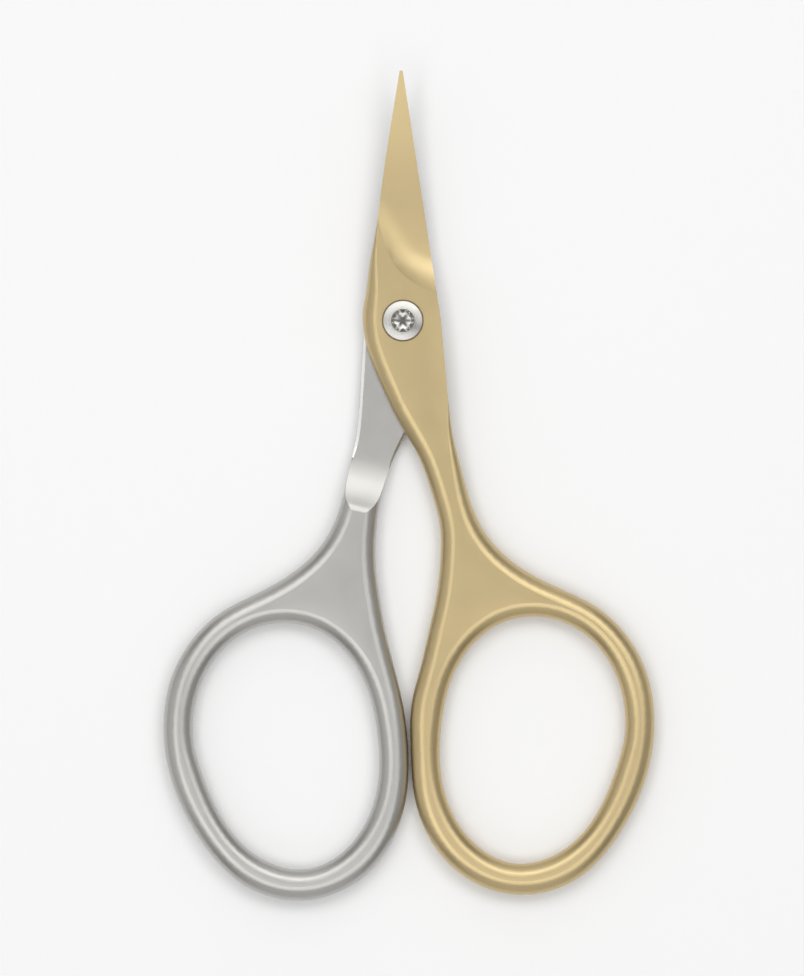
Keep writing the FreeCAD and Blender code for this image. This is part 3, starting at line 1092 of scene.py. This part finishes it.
@dataclass
class Studio:
    """The pale floor, the softboxes, the dim room round them and the camera above.

    Attributes:
        softboxes: The lamps.
        aim_y: Where on the scissors' length the lamps point, in millimetres.
        room_strength: Brightness of the room round the lamps.
        floor_colour: Colour of the floor, as sRGB hex.
        floor_half: Half the floor's side, in metres.
        floor_drop: How far the floor lies under the scissors, in metres.
        pixel_mm: Size of a pixel of the image on the scissors.
        image_width: Pixels across the image.
        image_height: Pixels down the image.
        pivot_pixel: Where the pivot axis is in the image.
        roll: How far the camera is turned on its axis, in degrees.
        camera_height: Metres from the camera down to the height that pixel_mm holds at.
        seen_z: That height, in millimetres.
        sensor: Width of the camera's sensor.
        nearest: Nearest distance that the camera sees, in metres.
        farthest: Farthest distance that the camera sees, in metres.
    """

    softboxes: tuple[Softbox, ...]
    aim_y: float = -18.0
    room_strength: float = 0.17
    floor_colour: str = "FDFDFD"
    floor_half: float = 20.0
    floor_drop: float = 0.00002
    pixel_mm: float = 0.1088
    image_width: int = 804
    image_height: int = 976
    pivot_pixel: tuple[float, float] = (402.8, 320.8)
    roll: float = 0.885
    camera_height: float = 1.2
    seen_z: float = 1.7
    sensor: float = 36.0
    nearest: float = 0.05
    farthest: float = 60.0

    def floor(self) -> bpy.types.Object:
        """Lay the floor.

        Returns:
            The floor.
        """
        half = self.floor_half
        corners = [(-half, -half, 0), (half, -half, 0), (half, half, 0), (-half, half, 0)]
        mesh = bpy.data.meshes.new("floor")
        mesh.from_pydata(corners, [], [(0, 1, 2, 3)])
        floor = bpy.data.objects.new("floor", mesh)
        bpy.context.scene.collection.objects.link(floor)
        floor.location.z = -self.floor_drop
        card = new_material("matt_white_card")
        add_surface(card.node_tree, "ShaderNodeBsdfDiffuse", {"Color": linear(self.floor_colour)})
        mesh.materials.append(card)
        return floor

    def room(self) -> bpy.types.World:
        """Set the even dim light of the room.

        Returns:
            The world that gives it.
        """
        world = bpy.data.worlds.new("studio_room")
        world.use_nodes = True
        world.node_tree.nodes.clear()
        grey = add_node(
            world.node_tree, "ShaderNodeBackground",
            inputs={"Color": linear("FFFFFF"), "Strength": self.room_strength},
        )
        add_node(world.node_tree, "ShaderNodeOutputWorld", inputs={"Surface": grey.outputs[0]})
        bpy.context.scene.world = world
        return world

    def camera(self) -> bpy.types.Object:
        """Hang the camera straight above the scissors, with the photograph's frame.

        Returns:
            The camera.
        """
        scale = self.pixel_mm * MM
        roll = math.radians(self.roll)
        dx = self.image_width / 2 - self.pivot_pixel[0]
        dy = self.image_height / 2 - self.pivot_pixel[1]
        lens = bpy.data.cameras.new("camera")
        lens.sensor_width = self.sensor
        lens.lens = self.sensor * self.camera_height / (max(self.image_width, self.image_height) * scale)
        lens.clip_start = self.nearest
        lens.clip_end = self.farthest
        camera = bpy.data.objects.new("camera", lens)
        bpy.context.scene.collection.objects.link(camera)
        camera.location = (
            scale * (dx * math.cos(roll) - dy * math.sin(roll)),
            -scale * (dx * math.sin(roll) + dy * math.cos(roll)),
            self.camera_height + self.seen_z * MM,
        )
        camera.rotation_euler = (0, 0, -roll)
        bpy.context.scene.camera = camera
        return camera

    def build(self) -> None:
        """Set up floor, room, lamps and camera."""
        self.floor()
        self.room()
        for softbox in self.softboxes:
            softbox.build(Vector((0, self.aim_y * MM, 0)))
        self.camera()
        bpy.context.scene.view_settings.view_transform = "Standard"


def main() -> None:
    """Dress the scissors piece by piece and light them."""
    logging.basicConfig(level=logging.INFO, format="%(name)s: %(message)s")
    pieces = (
        ForgedHalf(
            "front_half", Body.FRONT, Slot.GOLD_TONED_STEEL,
            BlastedSteel("bead_blasted_gold_toned_steel", "CCB88C"), SoftCrown(),
        ),
        ForgedHalf(
            "rear_half", Body.REAR, Slot.SATIN_STEEL,
            BlastedSteel("bead_blasted_stainless_steel", "BDBBB7"), SoftCrown(),
            InnerBevel(GroundSteelPaintedHighlight("fine_ground_bevel_painted_highlight")),
        ),
        PivotScrew(
            "pivot_screw", Body.SCREW, Slot.TURNED_STEEL, TurnedSteel("turned_stainless_screw"),
            lobes=6, lobe_swing=0.1625,
        ),
        PivotNut("pivot_nut", Body.REAR, Slot.TURNED_STEEL, TurnedSteel("turned_stainless_nut")),
        BearingRing(
            "head_washer", Body.FRONT, Slot.BEARING_POLYMER, BearingPolymer("acetal_head_ring"),
            inner_radius=1.75, outer_radius=2.175, low_z=2.75, high_z=2.87,
        ),
        BearingRing(
            "gap_washer", Body.REAR, Slot.BEARING_POLYMER, BearingPolymer("acetal_gap_ring"),
            inner_radius=1.8, outer_radius=3.5, low_z=1.37, high_z=1.62,
        ),
    )
    for piece in pieces:
        made = piece.build()
        LOG.info("%s rides on %s, %d faces", made.name, piece.body.value, len(made.data.polygons))

    Studio(
        # Polar angle, azimuth, distance, width, height, radiance
        softboxes=(
            Softbox("bottom_box", 22, -97, 0.48, 0.6, 0.18, 1.93),
            Softbox("top_box", 29.5, 100, 0.65, 0.62, 0.3, 2.3),
            Softbox("right_box", 31, 27, 0.6, 0.34, 0.3, 1.65),
            Softbox("left_box", 23, 180, 0.6, 0.3, 0.14, 1.35),
            Softbox("left_fill", 62, 182, 0.8, 0.9, 0.6, 0.55),
            Softbox("right_fill", 66, -2, 0.8, 0.9, 0.5, 0.27),
            Softbox("top_fill", 66, 90, 0.9, 1.2, 0.6, 0.65),
            Softbox("bottom_fill", 64, -90, 0.9, 1.2, 0.7, 0.5),
        ),
    ).build()
    LOG.info("boxes written")


if __name__ == "__main__":
    main()
